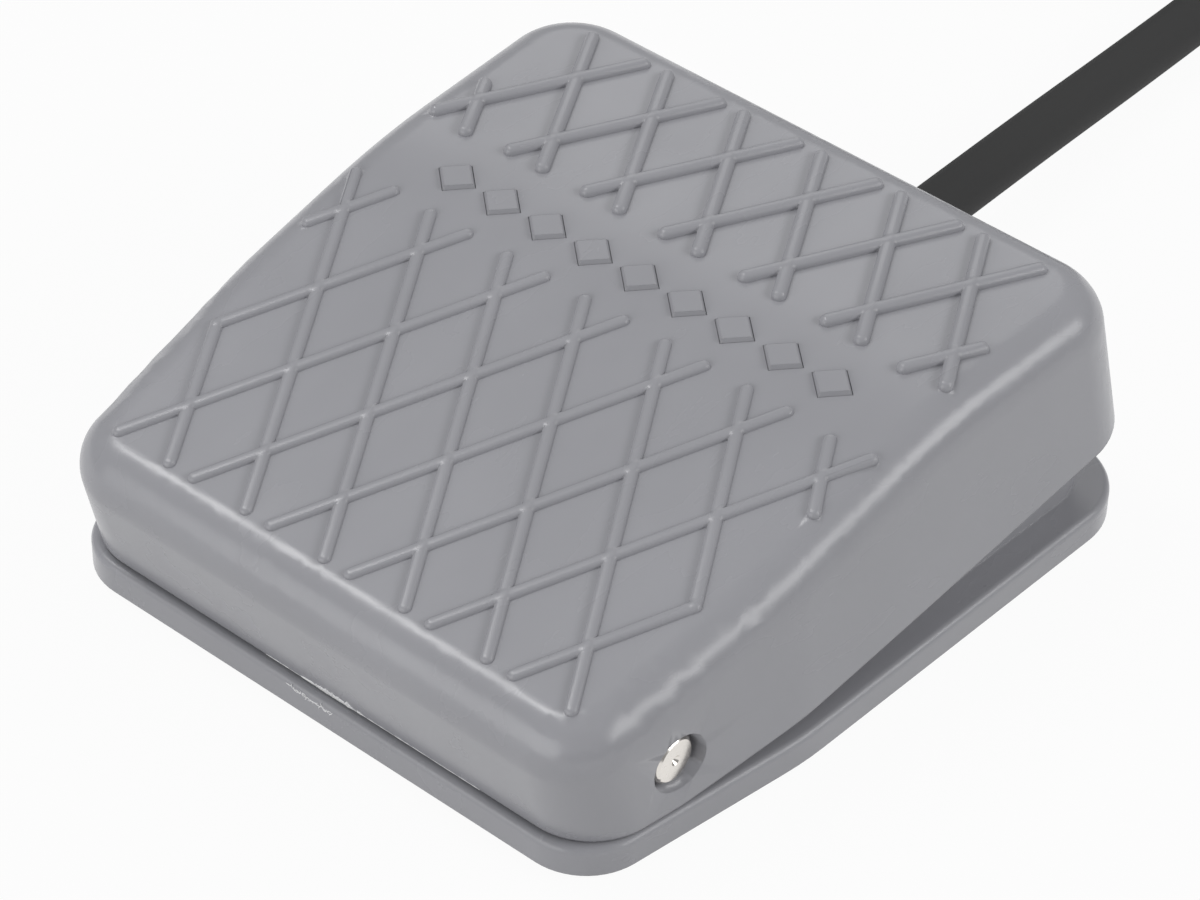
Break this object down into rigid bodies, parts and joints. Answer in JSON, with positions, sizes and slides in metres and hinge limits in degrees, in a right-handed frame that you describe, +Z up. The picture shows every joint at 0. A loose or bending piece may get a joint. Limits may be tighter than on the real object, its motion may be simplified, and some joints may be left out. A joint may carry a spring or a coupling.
{
  "type": "foot switch",
  "caption": "Small pedal foot switch: ribbed grey pedal hinged on a steel pin over a base tray, spring return, snap switch inside, black cord with bare cores.",
  "frame": {"origin": "on the floor, below the middle of the base's outline", "axes": "+Z up; +Y to the rear, where the pedal lifts and the cord leaves; +X to the right of a user who stands at the hinge end"},
  "size_m": [0.1207, 0.2331, 0.0281],
  "materials": {
    "pedal_plastic": "satin moulded ABS, mid grey",
    "base_plastic": "satin moulded ABS, mid grey",
    "pin_steel": "bright nickel plate",
    "spring_steel": "zinc plated wire",
    "switch_black": "moulded thermoset",
    "plunger_plastic": "red acetal",
    "lever_steel": "stainless strip",
    "terminal_brass": "bright",
    "screw_steel": "zinc plated",
    "relief_rubber": "moulded, matt",
    "cord_sheath": "PVC sheath, satin",
    "brown_core": "PVC insulation",
    "black_core": "PVC insulation",
    "blue_core": "PVC insulation",
    "tinned_copper": "tinned strands",
    "foot_rubber": "matt pad"
  },
  "bodies": {
    "base": {"base": "base_plastic", "hinge_pin": "pin_steel", "return_spring": "spring_steel", "switch_case": "switch_black", "switch_cover": "switch_black", "lever_pin": "pin_steel", "terminal_common": "terminal_brass", "terminal_closed": "terminal_brass", "terminal_open": "terminal_brass", "wire_common": "brown_core", "wire_closed": "black_core", "wire_open": "blue_core", "switch_screws": "screw_steel", "cord_clamp": "base_plastic", "clamp_screws": "screw_steel", "cord_relief": "relief_rubber", "cord": "cord_sheath", "cord_coil": "cord_sheath", "lead_common": "brown_core", "lead_closed": "black_core", "lead_open": "blue_core", "lead_tips": "tinned_copper", "foot_front_left": "foot_rubber", "foot_front_right": "foot_rubber", "foot_rear_left": "foot_rubber", "foot_rear_right": "foot_rubber"},
    "pedal": {"pedal": "pedal_plastic"},
    "lever": {"switch_lever": "lever_steel"},
    "plunger": {"switch_plunger": "plunger_plastic"}
  },
  "joints": [
    {"name": "pedal_press", "type": "hinge", "parent": "base", "child": "pedal", "pos_m": [0, -0.0274, 0.0099], "axis": [-1, 0, 0], "range_deg": [0, 6.5], "stiffness_Nm_per_rad": 1.5, "springref_deg": -7.45, "deforming": ["return_spring"]},
    {"name": "lever_swing", "type": "hinge", "parent": "base", "child": "lever", "pos_m": [0, -0.0171, 0.01695], "axis": [-1, 0, 0], "range_deg": [0, 10.2]},
    {"name": "plunger_slide", "type": "slide", "parent": "base", "child": "plunger", "axis": [0, 0, -1], "range_m": [0, 0.0008]}
  ],
  "couplings": [
    {"joint": "lever_swing", "follows": "pedal_press", "ratio": 1.56},
    {"joint": "plunger_slide", "follows": "pedal_press", "m_per_rad": 0.006}
  ]
}
